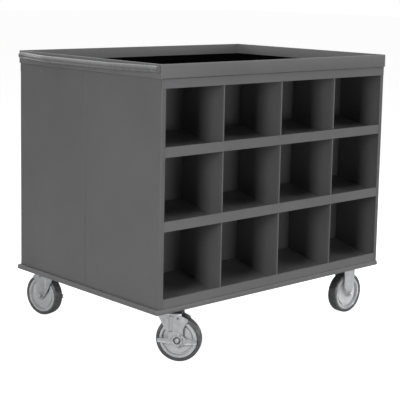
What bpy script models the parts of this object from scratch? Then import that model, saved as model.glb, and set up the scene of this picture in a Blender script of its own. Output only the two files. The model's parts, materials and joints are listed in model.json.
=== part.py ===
# Mobile workstation cart in sheet steel. Two bin units stand back to back on a deck, under a
# lipped tray top with a rubber mat. A tubular push handle runs along the left end, over two
# swivel casters with side brakes. Two rigid casters carry the right end.
# Metres, +Z up, floor at Z = 0, the front faces -Y and the handle end faces -X.

import math

import bmesh
import bpy
from mathutils import Vector

# Clearances
seat_gap = 0.0003
cut_overrun = 0.004
merge_distance = 0.00001

# Cabinet of two bin units
cabinet_length = 0.914
cabinet_depth = 0.656
cabinet_sheet = 0.0015
bin_columns = 4
bin_opening_heights = [0.1837, 0.1718, 0.1553]
bin_lip_heights = [0.0264, 0.0283, 0.0283]
bin_depth = 0.173
shelf_rise = 0.042
side_flange = 0.0145
top_flange = 0.0262
divider_sheet = 0.0012
divider_hem_width = 0.0038
divider_hem_depth = 0.010

# Tray top and its mat
tray_overhang = 0.003
tray_height = 0.038
tray_floor = 0.0019
tray_lip = 0.0026
mat_thickness = 0.0032
mat_margin = 0.001

# Deck and the bars that stiffen it over the casters
deck_overhang_left = 0.009
deck_overhang_right = 0.005
deck_overhang_front = 0.003
deck_overhang_rear = 0.008
deck_sheet = 0.0027
deck_skirt = 0.0135
bar_width = 0.112
bar_thickness = 0.00445

# Push handle
handle_radius = 0.0095
handle_wall = 0.0016
handle_standoff = 0.032
handle_below_tray_top = 0.0135
handle_front_inset = 0.001
handle_rear_inset = 0.022
handle_seat_length = 0.028
handle_leg_length = 0.136
handle_bend_radius = 0.055
handle_bend_steps = 3
handle_sides = 14

# Casters, alike for all four
caster_inset_left = 0.090
caster_inset_right = 0.083
caster_inset_side = 0.065
plate_thickness = 0.003
plate_corner = 0.008
plate_margin_long = 0.0095
plate_margin_wide = 0.0115
bolt_spacing_long = 0.076
bolt_spacing_wide = 0.044
bolt_radius = 0.004
bolt_head_radius = 0.0072
bolt_head_height = 0.0052
hole_clearance = 0.0004

# Wheel and its axle
wheel_radius = 0.0635
tyre_width = 0.032
tyre_depth = 0.010
tyre_shoulder = 0.003
tyre_bevel = 0.0015
rim_inset = 0.0027
rim_face_inset = 0.0015
rim_ring_depth = 0.0070
rim_bevel = 0.0015
groove_width = 0.0055
groove_face_width = 0.013
web_face_width = 0.018
hub_radius = 0.012
hub_rise = 0.0012
web_taper = 0.003
axle_radius = 0.00475
axle_head_radius = 0.0082
axle_head_height = 0.006
running_clearance = 0.00025
wheel_segments = 32

# Forks
fork_sheet = 0.003
fork_bend_radius = 0.008
fork_bend_steps = 3
tyre_clearance = 0.0105
leg_foot_radius = 0.0145
leg_hole_radius = 0.003
leg_hole_height = 0.060
rib_width = 0.011
rib_depth = 0.0015
rib_draft = 0.003
rib_lever_gap = 0.0055
rib_bend_gap = 0.002
rib_offset = 0.0195
foot_steps = 8
hole_segments = 12

# Swivel head
swivel_trail = 0.037
head_drop = 0.01525
race_radius = 0.022
race_side_gap = 0.003
cup_wall = 0.004
cup_floor = 0.00375
cup_lift = 0.00875
kingpin_radius = 0.006
kingpin_head_radius = 0.009
kingpin_head_height = 0.0035
race_clearance = 0.0005
head_segments = 24
swivel_turn_front = math.radians(-54)
swivel_turn_rear = math.radians(102)

# Brake lever on the right of the trailing direction
lever_sheet = 0.0025
lever_reach_lead = 0.057
lever_reach_trail = 0.0545
lever_arm_width = 0.010
lever_arm_drop = 0.003
lever_neck_width = 0.018
lever_neck_reach = 0.022
lever_flange_depth = 0.0038
lever_flange_start = 0.0195
lever_hub_height = 0.0165
lever_hub_depth = 0.016
lever_hub_width = 0.0115
lever_tab_width = 0.008
lever_tab_depth = 0.0045
lever_star_radius = 0.0160
lever_star_lobe_share = 0.13
lever_star_lobes = 8
lever_star_steps = 6
lever_star_height = 0.0018
lever_well_gap = 0.0028

# Rigid fork
rigid_leg_width = 0.048
rigid_shoulder_share = 0.45
rigid_foot_radius = 0.0125

# Each trailing-side point of the swivel leg, as shares of the wheel radius from the axle
swivel_horn_shares = [(0.24, 0.32), (0.24, 0.47), (0.32, 0.66), (0.47, 0.84), (0.43, 0.95), (0.17, 1.06)]
swivel_lead_foot_share = 0.40
swivel_lead_foot_height_share = 0.13
swivel_lead_top_share = 1.01

# Sizes that follow from the ones above
half_length = cabinet_length / 2
half_depth = cabinet_depth / 2
fork_crown_height = 2 * wheel_radius + tyre_clearance + fork_sheet
plate_bottom = fork_crown_height + head_drop
caster_height = plate_bottom + plate_thickness
deck_top = caster_height + bar_thickness + deck_sheet + 2 * seat_gap
cabinet_bottom = deck_top + seat_gap
lip_bottoms = []
lip_tops = []
level = cabinet_bottom
for lip, opening in zip(bin_lip_heights, bin_opening_heights):
    lip_bottoms.append(level)
    lip_tops.append(level + lip)
    level += lip + opening
top_flange_bottom = level
cabinet_top = top_flange_bottom + top_flange
tray_bottom = cabinet_top + seat_gap
tray_top = tray_bottom + tray_height
deck_left = -half_length - deck_overhang_left
deck_right = half_length + deck_overhang_right
deck_front = -half_depth - deck_overhang_front
deck_rear = half_depth + deck_overhang_rear
slope = shelf_rise / bin_depth
slope_length = math.hypot(1, slope)
plate_length = bolt_spacing_long + 2 * plate_margin_long
plate_width = bolt_spacing_wide + 2 * plate_margin_wide
rim_width = tyre_width - 2 * rim_inset
rim_face_width = tyre_width - 2 * rim_face_inset
hub_width = tyre_width + 2 * hub_rise
fork_half_width = hub_width / 2 + seat_gap + fork_sheet
race_height = head_drop - cup_floor - race_clearance
cup_radius = race_radius + race_side_gap + cup_wall
lever_well_radius = axle_head_radius + lever_well_gap

steel_grey = (0.120, 0.120, 0.122)
edge_grey = (0.165, 0.165, 0.168)
zinc_grey = (0.520, 0.525, 0.530)
bolt_grey = (0.430, 0.430, 0.440)
core_grey = (0.430, 0.435, 0.440)
tyre_grey = (0.090, 0.090, 0.092)
mat_black = (0.008, 0.008, 0.008)


def finish(name, colour, roughness, metallic):
    """A plain material of one colour."""
    made = bpy.data.materials.new(name)
    made.use_nodes = True
    shader = made.node_tree.nodes["Principled BSDF"]
    shader.inputs["Base Color"].default_value = (*colour, 1)
    shader.inputs["Roughness"].default_value = roughness
    shader.inputs["Metallic"].default_value = metallic
    return made


def make_object(name, shape, material, parent, place=(0, 0, 0), turn=0):
    """The object of a bmesh, under its parent, turned about the vertical."""
    mesh = bpy.data.meshes.new(name)
    shape.to_mesh(mesh)
    shape.free()
    if material:
        mesh.materials.append(material)
    made = bpy.data.objects.new(name, mesh)
    bpy.context.scene.collection.objects.link(made)
    made.parent = parent
    made.location = place
    made.rotation_euler.z = turn
    return made


def make_axis(name, parent, place=(0, 0, 0), turn=0):
    """An empty that carries the pieces which share one axis."""
    made = bpy.data.objects.new(name, None)
    bpy.context.scene.collection.objects.link(made)
    made.parent = parent
    made.location = place
    made.rotation_euler.z = turn
    return made


def combine(body, shape, operation):
    """Joins, cuts or keeps the body by another shape in the body's own frame."""
    helper = make_object(f"{body.name}_{operation.lower()}", shape, None, body)
    helper.hide_render = True
    helper.display_type = "WIRE"
    modifier = body.modifiers.new(operation.title(), "BOOLEAN")
    modifier.operation = operation
    modifier.object = helper


def smooth(body, degrees=35):
    """Rounds the shading, and keeps the real edges sharp."""
    body.data.shade_smooth()
    body.data.set_sharp_from_angle(angle=math.radians(degrees))


def prism(outline, axis, low, high):
    """A flat outline grown along an axis. It is (y, z) for X, (x, z) for Y and (x, y) for Z."""
    order = {"X": (2, 0, 1), "Y": (0, 2, 1), "Z": (0, 1, 2)}[axis]
    shape = bmesh.new()
    corners = [(a, b, low) for a, b in outline]
    face = shape.faces.new([shape.verts.new([corner[i] for i in order]) for corner in corners])
    grown = bmesh.ops.extrude_face_region(shape, geom=[face])["geom"]
    way = (0, 0, high - low)
    tips = [part for part in grown if isinstance(part, bmesh.types.BMVert)]
    bmesh.ops.translate(shape, verts=tips, vec=[way[i] for i in order])
    bmesh.ops.recalc_face_normals(shape, faces=shape.faces)
    return shape


def block(low, high):
    """A box between two corners."""
    outline = [(low[0], low[1]), (high[0], low[1]), (high[0], high[1]), (low[0], high[1])]
    return prism(outline, "Z", low[2], high[2])


def turned(profile, axis, segments, centre=(0, 0, 0)):
    """A closed profile of (radius, height) turned about an axis through the centre."""
    shape = bmesh.new()
    across = Vector((1, 0, 0))
    along = Vector((0, 1, 0)) if axis == "Y" else Vector((0, 0, 1))
    corners = [shape.verts.new(across * radius + along * height) for radius, height in profile]
    edges = [shape.edges.new((a, b)) for a, b in zip(corners, corners[1:] + corners[:1])]
    bmesh.ops.spin(shape, geom=corners + edges, cent=(0, 0, 0), axis=along,
                   angle=2 * math.pi, steps=segments)
    bmesh.ops.remove_doubles(shape, verts=shape.verts, dist=merge_distance)
    bmesh.ops.dissolve_degenerate(shape, dist=merge_distance, edges=shape.edges)
    on_axis = [edge for edge in shape.edges if not edge.link_faces]
    bmesh.ops.delete(shape, geom=on_axis, context="EDGES")
    bmesh.ops.recalc_face_normals(shape, faces=shape.faces)
    bmesh.ops.translate(shape, verts=shape.verts, vec=centre)
    return shape


def rod(radius, axis, low, high, sides, centre=(0, 0, 0)):
    """A round or six-sided bar along an axis, from low to high past the centre."""
    ring = [2 * math.pi * (step + 0.5) / sides for step in range(sides)]
    shape = prism([(radius * math.cos(a), radius * math.sin(a)) for a in ring], axis, low, high)
    bmesh.ops.translate(shape, verts=shape.verts, vec=centre)
    return shape


def arc(centre, radius, start, end, steps):
    """Points on an arc, in degrees, with both ends."""
    turns = [math.radians(start + (end - start) * step / steps) for step in range(steps + 1)]
    return [(centre[0] + radius * math.cos(a), centre[1] + radius * math.sin(a)) for a in turns]


def rounded(path, radius, steps):
    """The path with each inner corner replaced by an arc of that radius."""
    points = [Vector(point) for point in path]
    made = [points[0]]
    for before, corner, after in zip(points, points[1:], points[2:]):
        back = (before - corner).normalized()
        on = (after - corner).normalized()
        half_angle = back.angle(on) / 2
        reach = radius / math.tan(half_angle)
        middle = corner + (back + on).normalized() * radius / math.sin(half_angle)
        start = (corner + back * reach - middle).normalized()
        end = (corner + on * reach - middle).normalized()
        for step in range(steps + 1):
            made.append(middle + radius * start.slerp(end, step / steps))
    return made + [points[-1]]


def folded(path, thickness):
    """The closed outline of a sheet bent along a path, with the sheet on the path's left."""
    points = [Vector(point) for point in path]
    ways = [(b - a).normalized() for a, b in zip(points, points[1:])]
    lefts = [Vector((-way.y, way.x)) for way in ways]
    inner = []
    for index, point in enumerate(points):
        first = lefts[max(index - 1, 0)]
        second = lefts[min(index, len(lefts) - 1)]
        inner.append(point + (first + second) * thickness / (1 + first.dot(second)))
    return [tuple(point) for point in points + inner[::-1]]


def pan(low, high, wall, hollow, open_top):
    """A box with one open side: the mouth is inset by the wall and pushed in by the hollow."""
    shape = block(low, high)
    shape.faces.ensure_lookup_table()
    up = 1 if open_top else -1
    mouth = max(shape.faces, key=lambda face: up * face.calc_center_median().z)
    bmesh.ops.inset_region(shape, faces=[mouth], thickness=wall)
    floor = bmesh.ops.extrude_discrete_faces(shape, faces=[mouth])["faces"][0]
    bmesh.ops.translate(shape, verts=floor.verts, vec=(0, 0, -up * hollow))
    bmesh.ops.recalc_face_normals(shape, faces=shape.faces)
    return shape


def tube(points, outer, inner, sides):
    """A hollow tube along a level path."""
    shape = bmesh.new()
    rings = []
    for index, point in enumerate(points):
        way = points[min(index + 1, len(points) - 1)] - points[max(index - 1, 0)]
        side = way.cross(Vector((0, 0, 1))).normalized()
        rise = side.cross(way).normalized()
        for radius in (outer, inner):
            turns = [2 * math.pi * step / sides for step in range(sides)]
            rings.append([shape.verts.new(point + radius * (side * math.cos(a) + rise * math.sin(a)))
                          for a in turns])
    outers, inners = rings[0::2], rings[1::2]
    loop = outers + inners[::-1]
    for first, second in zip(loop, loop[1:] + loop[:1]):
        for step in range(sides):
            after = (step + 1) % sides
            shape.faces.new((first[step], first[after], second[after], second[step]))
    bmesh.ops.recalc_face_normals(shape, faces=shape.faces)
    return shape


def shelf_line(row, y):
    """Height of a shelf's underside at a place y, on the front unit."""
    return lip_bottoms[row] + (y + half_depth) * slope


def make_end_panel(name, side, parent):
    """A side panel with a narrow flange at the front and one at the seam of the two units."""
    edge = side * half_length
    seam = -seat_gap
    path = [(edge - side * side_flange, -half_depth), (edge, -half_depth), (edge, seam),
            (edge - side * side_flange, seam)]
    outline = folded(path if side > 0 else path[::-1], cabinet_sheet)
    top = cabinet_top - cabinet_sheet - seat_gap
    panel = make_object(name, prism(outline, "Z", cabinet_bottom, top), steel, parent)
    inner = edge - side * (side_flange + cut_overrun)
    outside = edge + side * cut_overrun
    notch = block((min(inner, outside), -half_depth - cut_overrun, top_flange_bottom - seat_gap),
                  (max(inner, outside), -half_depth + cabinet_sheet + seat_gap, top + cut_overrun))
    combine(panel, notch, "DIFFERENCE")


def make_shelf(name, row, parent):
    """A sloped shelf with its upstanding lip, notched at both ends for the side flanges."""
    back = -half_depth + bin_depth - seat_gap
    path = [(-half_depth, lip_tops[row]), (-half_depth, lip_bottoms[row]), (back, shelf_line(row, back))]
    reach = half_length - cabinet_sheet - seat_gap
    shelf = make_object(name, prism(folded(path, cabinet_sheet), "X", -reach, reach), edge_steel, parent)
    for side in (-1, 1):
        inner = side * (half_length - side_flange - seat_gap)
        outside = side * (half_length + cut_overrun)
        notch = block((min(inner, outside), -half_depth - cut_overrun, lip_bottoms[row] - cut_overrun),
                      (max(inner, outside), -half_depth + cabinet_sheet + seat_gap,
                       lip_tops[row] + cut_overrun))
        combine(shelf, notch, "DIFFERENCE")


def make_divider(name, row, column, parent):
    """An upright divider with a hemmed front edge, cut to the slopes of the shelves around it."""
    front = -half_depth + cabinet_sheet + seat_gap
    back = -half_depth + bin_depth - seat_gap
    hem_back = front + divider_hem_depth
    middle = column * cabinet_length / bin_columns - half_length
    half = [(divider_hem_width / 2, front), (divider_hem_width / 2, hem_back),
            (divider_sheet / 2, hem_back), (divider_sheet / 2, back)]
    outline = [(middle + x, y) for x, y in half] + [(middle - x, y) for x, y in half[::-1]]
    shape = prism(outline, "Z", 0, cabinet_top)
    for vert in shape.verts:
        if vert.co.z == 0:
            vert.co.z = shelf_line(row, vert.co.y) + cabinet_sheet * slope_length + seat_gap
        elif row + 1 < len(lip_bottoms):
            vert.co.z = shelf_line(row + 1, vert.co.y) - seat_gap * slope_length
        else:
            vert.co.z = cabinet_top - cabinet_sheet - seat_gap
    make_object(name, shape, steel, parent)


def make_bin_unit(end, parent):
    """One bin unit: two end panels, three shelves, their dividers, a back and a top."""
    front = end == "front"
    unit = make_axis(f"{end}_unit", parent, turn=0 if front else math.pi)
    for side in (-1, 1):
        left = side < 0 if front else side > 0
        make_end_panel(f"{end}_end_panel_{'left' if left else 'right'}", side, unit)
    for row in range(len(lip_bottoms)):
        make_shelf(f"{end}_shelf_{row + 1}", row, unit)
        for column in range(1, bin_columns):
            make_divider(f"{end}_divider_{row + 1}_{column}", row, column, unit)
    reach = half_length - cabinet_sheet - seat_gap
    back = -half_depth + bin_depth
    make_object(f"{end}_back_panel",
                block((-reach, back, cabinet_bottom),
                      (reach, back + cabinet_sheet, cabinet_top - cabinet_sheet - seat_gap)),
                steel, unit)
    path = [(-seat_gap, cabinet_top), (-half_depth, cabinet_top), (-half_depth, top_flange_bottom)]
    make_object(f"{end}_top_panel", prism(folded(path, cabinet_sheet), "X", -half_length, half_length),
                edge_steel, unit)


def make_tray(parent):
    """The tray that closes the top, and the mat in it."""
    reach = half_length + tray_overhang
    depth = half_depth + tray_overhang
    make_object("tray_top", pan((-reach, -depth, tray_bottom), (reach, depth, tray_top), tray_lip,
                                tray_height - tray_floor, True), edge_steel, parent)
    inset = tray_lip + mat_margin
    bottom = tray_bottom + tray_floor + seat_gap
    make_object("rubber_mat", block((inset - reach, inset - depth, bottom),
                                    (reach - inset, depth - inset, bottom + mat_thickness)),
                rubber, parent)


def make_handle(parent):
    """The bent tube along the left end, seated on the tray's lip at both ends."""
    seat = -half_length - tray_overhang - seat_gap - handle_radius
    grip = seat - handle_standoff
    height = tray_top - handle_below_tray_top
    start = -half_depth + handle_front_inset
    end = half_depth - handle_rear_inset
    path = [(seat, start, height),
            (seat, start + handle_seat_length, height),
            (grip, start + handle_seat_length + handle_leg_length, height),
            (grip, end - handle_seat_length - handle_leg_length, height),
            (seat, end - handle_seat_length, height),
            (seat, end, height)]
    route = rounded(path, handle_bend_radius, handle_bend_steps)
    handle = make_object("push_handle", tube(route, handle_radius, handle_radius - handle_wall,
                                             handle_sides), edge_steel, parent)
    smooth(handle)


def caster_places():
    """Name, x and y of each caster on the deck."""
    left = deck_left + caster_inset_left
    right = deck_right - caster_inset_right
    front = deck_front + caster_inset_side
    rear = deck_rear - caster_inset_side
    return {"front_left": (left, front), "rear_left": (left, rear),
            "front_right": (right, front), "rear_right": (right, rear)}


def bolt_places(x, y):
    """The four bolt places of a caster plate about (x, y)."""
    return [(x + a * bolt_spacing_long / 2, y + b * bolt_spacing_wide / 2)
            for a in (-1, 1) for b in (-1, 1)]


def make_deck(parent):
    """The deck pan and the two bars under it that take the caster bolts."""
    bottom = deck_top - deck_skirt
    make_object("base_deck", pan((deck_left, deck_front, bottom), (deck_right, deck_rear, deck_top),
                                 deck_sheet, deck_skirt - deck_sheet, False), edge_steel, parent)
    places = caster_places()
    for end in ("left", "right"):
        x = places[f"front_{end}"][0]
        top = deck_top - deck_sheet - seat_gap
        bar = make_object(f"caster_bar_{end}",
                          block((x - bar_width / 2, deck_front + deck_sheet + seat_gap,
                                 top - bar_thickness),
                                (x + bar_width / 2, deck_rear - deck_sheet - seat_gap, top)),
                          edge_steel, parent)
        for row in ("front", "rear"):
            for bolt_x, bolt_y in bolt_places(*places[f"{row}_{end}"]):
                hole = rod(bolt_radius + hole_clearance, "Z", top - bar_thickness - cut_overrun,
                           top + cut_overrun, hole_segments, (bolt_x, bolt_y, 0))
                combine(bar, hole, "DIFFERENCE")


def add_bolts(plate, x, y):
    """Four hexagon bolts, headed under the plate, whose shanks pass up through the bar."""
    bolts = bmesh.new()
    middle = plate_bottom + plate_thickness / 2
    top = deck_top - deck_sheet - seat_gap
    section = [(bolt_head_radius, plate_bottom - bolt_head_height), (bolt_head_radius, middle),
               (bolt_radius, middle), (bolt_radius, top)]
    hexagon = [2 * math.pi * step / 6 for step in range(6)]
    for bolt_x, bolt_y in bolt_places(x, y):
        rings = [[bolts.verts.new((bolt_x + radius * math.cos(a), bolt_y + radius * math.sin(a), z))
                  for a in hexagon] for radius, z in section]
        for first, second in zip(rings, rings[1:]):
            for step in range(len(hexagon)):
                after = (step + 1) % len(hexagon)
                bolts.faces.new((first[step], first[after], second[after], second[step]))
        bolts.faces.new(rings[0][::-1])
        bolts.faces.new(rings[-1])
    bmesh.ops.recalc_face_normals(bolts, faces=bolts.faces)
    combine(plate, bolts, "UNION")


def plate_outline(x, y):
    """The caster plate in plan, with rounded corners."""
    long = plate_length / 2 - plate_corner
    wide = plate_width / 2 - plate_corner
    corners = [((x + long, y + wide), 0), ((x - long, y + wide), 90),
               ((x - long, y - wide), 180), ((x + long, y - wide), 270)]
    return [point for centre, start in corners
            for point in arc(centre, plate_corner, start, start + 90, 2)]


def wheel_core_profile():
    """Half sections of the wheel centre: bore, hub, web, groove and rim, mirrored over the middle."""
    seat = wheel_radius - tyre_depth - seat_gap
    ring = seat - rim_ring_depth
    groove = ring - groove_width
    bore = axle_radius + running_clearance
    half = [(bore, hub_width / 2), (hub_radius, hub_width / 2),
            (hub_radius + web_taper, web_face_width / 2), (groove - web_taper, web_face_width / 2),
            (groove, groove_face_width / 2), (ring - rim_bevel, groove_face_width / 2),
            (ring, rim_face_width / 2), (seat, rim_width / 2)]
    return half + [(radius, -y) for radius, y in half[::-1]]


def tyre_profile():
    """The tyre's ring: flat seat, square walls and rounded shoulders."""
    seat = wheel_radius - tyre_depth
    wall = tyre_width / 2
    half = [(seat, rim_width / 2), (seat + tyre_bevel, wall), (wheel_radius - tyre_shoulder, wall),
            (wheel_radius, wall - 2 * tyre_shoulder)]
    return half + [(radius, -y) for radius, y in half[::-1]]


def make_wheel(name, axle, parent):
    """The wheel centre and its tyre, with their origin on the axle."""
    core = make_object(f"wheel_core_{name}", turned(wheel_core_profile(), "Y", wheel_segments),
                       core_steel, parent, axle)
    tyre = make_object(f"tyre_{name}", turned(tyre_profile(), "Y", wheel_segments),
                       tyre_rubber, parent, axle)
    smooth(core)
    smooth(tyre)


def make_axle(name, axle, nut_gap, parent):
    """The axle bolt, its head on the left and its nut on the right, past what the leg carries."""
    head = fork_half_width + seat_gap
    nut = -fork_half_width - nut_gap - seat_gap
    bolt = make_object(f"axle_bolt_{name}",
                       rod(axle_radius, "Y", nut - axle_head_height / 2, head + axle_head_height / 2,
                           hole_segments), bolt_steel, parent, axle)
    combine(bolt, rod(axle_head_radius, "Y", head, head + axle_head_height, 6), "UNION")
    combine(bolt, rod(axle_head_radius, "Y", nut - axle_head_height, nut, 6), "UNION")


def fork_section(bottom, top):
    """Cross section of a fork: a sheet bent into an upturned U, as a closed outline of (y, z)."""
    path = [(fork_half_width, bottom), (fork_half_width, top), (-fork_half_width, top),
            (-fork_half_width, bottom)]
    return folded(rounded(path, fork_bend_radius, fork_bend_steps), fork_sheet)


def swivel_leg_outline(axle_x):
    """Side view of the swivel fork: a slanted leading edge, a round foot and a trailing horn."""
    top = fork_crown_height + cut_overrun
    lead_foot = (axle_x - swivel_lead_foot_share * wheel_radius,
                 wheel_radius + swivel_lead_foot_height_share * wheel_radius)
    lead_top = (axle_x - swivel_lead_top_share * wheel_radius, top)
    foot = arc((axle_x, wheel_radius), leg_foot_radius, 200, 350, foot_steps)
    horn = [(axle_x + u * wheel_radius, wheel_radius + v * wheel_radius) for u, v in swivel_horn_shares]
    crown_end = (horn[-1][0], top)
    return [lead_top, lead_foot] + foot + horn + [crown_end]


def make_swivel_fork(name, parent):
    """The fork of a swivel caster, which turns about its kingpin at the local origin."""
    section = fork_section(0, fork_crown_height)
    reach = wheel_radius * 2
    fork = make_object(f"swivel_fork_{name}", prism(section, "X", -reach, reach), zinc, parent)
    combine(fork, prism(swivel_leg_outline(swivel_trail), "Y", -fork_half_width - cut_overrun,
                        fork_half_width + cut_overrun), "INTERSECT")
    inside = fork_crown_height - fork_sheet
    hole = kingpin_radius + running_clearance
    core = inside + fork_sheet / 2
    race = [(0, core), (race_radius, core), (race_radius, fork_crown_height + race_height),
            (0, fork_crown_height + race_height)]
    for side in (-1, 1):
        face = side * fork_half_width
        middle = swivel_trail - rib_offset
        rib = [(middle - rib_width / 2, face - side * fork_sheet / 2), (middle - rib_width / 2, face),
               (middle - rib_width / 2 + rib_draft, face + side * rib_depth),
               (middle + rib_width / 2 - rib_draft, face + side * rib_depth),
               (middle + rib_width / 2, face), (middle + rib_width / 2, face - side * fork_sheet / 2)]
        combine(fork, prism(rib, "Z", wheel_radius + lever_hub_height + rib_lever_gap,
                            fork_crown_height - fork_bend_radius - rib_bend_gap), "UNION")
    combine(fork, turned(race, "Z", head_segments), "UNION")
    across = fork_half_width + cut_overrun
    combine(fork, rod(hole, "Z", inside - cut_overrun, fork_crown_height + race_height + cut_overrun,
                      head_segments), "DIFFERENCE")
    combine(fork, rod(axle_radius + running_clearance, "Y", -across, across, hole_segments,
                      (swivel_trail, 0, wheel_radius)), "DIFFERENCE")
    combine(fork, rod(leg_hole_radius, "Y", -across, across, hole_segments,
                      (swivel_trail, 0, wheel_radius + leg_hole_height)), "DIFFERENCE")


def make_swivel_plate(name, x, y, parent):
    """The fixed half of a swivel caster: plate, race cup and kingpin in one piece."""
    plate = make_object(f"swivel_plate_{name}",
                        prism(plate_outline(x, y), "Z", plate_bottom, caster_height), zinc, parent)
    race_top = fork_crown_height + race_height
    ceiling = race_top + race_clearance
    head_top = fork_crown_height - fork_sheet - seat_gap
    overlap = plate_bottom + plate_thickness / 2
    skirt_bottom = fork_crown_height + cup_lift
    section = [(0, head_top - kingpin_head_height), (kingpin_head_radius, head_top - kingpin_head_height),
               (kingpin_head_radius, head_top), (kingpin_radius, head_top), (kingpin_radius, ceiling),
               (cup_radius - cup_wall, ceiling), (cup_radius - cup_wall, skirt_bottom),
               (cup_radius, skirt_bottom), (cup_radius, overlap), (0, overlap)]
    combine(plate, turned(section, "Z", head_segments, (x, y, 0)), "UNION")
    add_bolts(plate, x, y)


def lever_edge(x, side):
    """Height of the lever's upper or lower edge at a place x, from the neck out to the tip."""
    reach = lever_reach_lead if x < 0 else lever_reach_trail
    share = max(0, (abs(x) - lever_neck_reach) / (reach - lever_neck_reach))
    half = (lever_neck_width + (lever_arm_width - lever_neck_width) * share) / 2
    return side * half - lever_arm_drop


def lever_outline():
    """Side view of the brake lever about the axle: two slim arms on a broad hub with a tab."""
    tab = lever_tab_width / 2
    tab_bottom = -lever_hub_depth - lever_tab_depth
    places = [-lever_reach_lead, -lever_neck_reach, lever_neck_reach, lever_reach_trail]
    lower = [(x, lever_edge(x, -1)) for x in places]
    upper = [(x, lever_edge(x, 1)) for x in places[::-1]]
    bottom = [(-lever_hub_width, -lever_hub_depth), (-tab, -lever_hub_depth), (-tab, tab_bottom),
              (tab, tab_bottom), (tab, -lever_hub_depth), (lever_hub_width, -lever_hub_depth)]
    top = [(lever_hub_width, lever_hub_height), (-lever_hub_width, lever_hub_height)]
    return lower[:2] + bottom + lower[2:] + upper[:2] + top + upper[2:]


def lever_star():
    """Outline of the pressed star round the nut: lobes about the axle, with a notch at the top."""
    count = lever_star_lobes * lever_star_steps
    outline = []
    for step in range(count):
        turn = 2 * math.pi * step / count
        radius = lever_star_radius * (1 - lever_star_lobe_share * math.cos(lever_star_lobes * turn))
        outline.append((radius * math.cos(turn), radius * math.sin(turn)))
    return outline


def make_brake_lever(name, axle, parent):
    """The brake lever outside the right leg: two channel arms, a pressed star and a well for the nut."""
    inner = -fork_half_width - seat_gap
    outer = inner - lever_sheet
    lever = make_object(f"brake_lever_{name}", prism(lever_outline(), "Y", outer, inner), zinc,
                        parent, axle)
    middle = (inner + outer) / 2
    for tip, way in ((-lever_reach_lead, -1), (lever_reach_trail, 1)):
        places = [way * lever_flange_start, way * lever_neck_reach, tip]
        for side in (-1, 1):
            edges = [(x, lever_edge(x, side)) for x in places]
            inside = [(x, z - side * lever_sheet) for x, z in edges[::-1]]
            combine(lever, prism(edges + inside, "Y", outer - lever_flange_depth, middle), "UNION")
    combine(lever, prism(lever_star(), "Y", outer - lever_star_height, middle), "UNION")
    combine(lever, rod(lever_well_radius, "Y", outer - lever_star_height - cut_overrun, outer, head_segments),
            "DIFFERENCE")
    bore = axle_radius + running_clearance
    combine(lever, rod(bore, "Y", outer - cut_overrun, inner + cut_overrun, hole_segments), "DIFFERENCE")


def make_swivel_caster(name, x, y, turn, parent):
    """A swivel caster with a side brake, trailing along its own +X."""
    make_swivel_plate(name, x, y, parent)
    pivot = make_axis(f"swivel_axis_{name}", parent, (x, y, 0), turn)
    axle = (swivel_trail, 0, wheel_radius)
    make_swivel_fork(name, pivot)
    make_wheel(name, axle, pivot)
    make_axle(name, axle, lever_sheet + seat_gap, pivot)
    make_brake_lever(name, axle, pivot)


def rigid_leg_outline():
    """Side view of the rigid fork: a straight leg that narrows to a round foot."""
    half = rigid_leg_width / 2
    shoulder = wheel_radius * (1 + rigid_shoulder_share)
    top = plate_bottom + cut_overrun
    foot = arc((0, wheel_radius), rigid_foot_radius, 190, 350, foot_steps)
    return [(half, shoulder), (half, top), (-half, top), (-half, shoulder)] + foot


def make_rigid_caster(name, x, y, parent):
    """A rigid caster, which rolls along X."""
    pivot = make_axis(f"rigid_axis_{name}", parent, (x, y, 0))
    axle = (0, 0, wheel_radius)
    section = fork_section(0, plate_bottom + plate_thickness / 2)
    fork = make_object(f"rigid_fork_{name}", prism(section, "X", -wheel_radius, wheel_radius), zinc, pivot)
    combine(fork, prism(rigid_leg_outline(), "Y", -fork_half_width - cut_overrun,
                        fork_half_width + cut_overrun), "INTERSECT")
    combine(fork, prism(plate_outline(0, 0), "Z", plate_bottom, caster_height), "UNION")
    across = fork_half_width + cut_overrun
    combine(fork, rod(axle_radius + running_clearance, "Y", -across, across, hole_segments,
                      (0, 0, wheel_radius)), "DIFFERENCE")
    add_bolts(fork, 0, 0)
    make_wheel(name, axle, pivot)
    make_axle(name, axle, 0, pivot)


def centre_on_floor(root):
    """Moves the cart so that the middle of its outer box, at floor level, is the origin."""
    bpy.context.view_layer.update()
    graph = bpy.context.evaluated_depsgraph_get()
    corners = []
    for made in bpy.data.objects:
        if made.type == "MESH" and not made.hide_render:
            solid = made.evaluated_get(graph)
            corners += [solid.matrix_world @ vert.co for vert in solid.data.vertices]
    for axis in (0, 1):
        places = [corner[axis] for corner in corners]
        root.location[axis] -= (min(places) + max(places)) / 2


for old in list(bpy.data.objects):
    bpy.data.objects.remove(old)

steel = finish("powder_coat", steel_grey, 0.45, 0)
edge_steel = finish("powder_coat_edges", edge_grey, 0.45, 0)
zinc = finish("zinc_plate", zinc_grey, 0.35, 0.9)
bolt_steel = finish("bolt_steel", bolt_grey, 0.35, 0.9)
core_steel = finish("wheel_grey", core_grey, 0.5, 0)
tyre_rubber = finish("tyre_rubber", tyre_grey, 0.6, 0)
rubber = finish("mat_rubber", mat_black, 0.9, 0)

cart = make_axis("cart", None)
make_deck(cart)
for end in ("front", "rear"):
    make_bin_unit(end, cart)
make_tray(cart)
make_handle(cart)
for caster, (x, y) in caster_places().items():
    if caster.endswith("left"):
        turn = swivel_turn_front if caster.startswith("front") else swivel_turn_rear
        make_swivel_caster(caster, x, y, turn, cart)
    else:
        make_rigid_caster(caster, x, y, cart)
centre_on_floor(cart)
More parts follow.
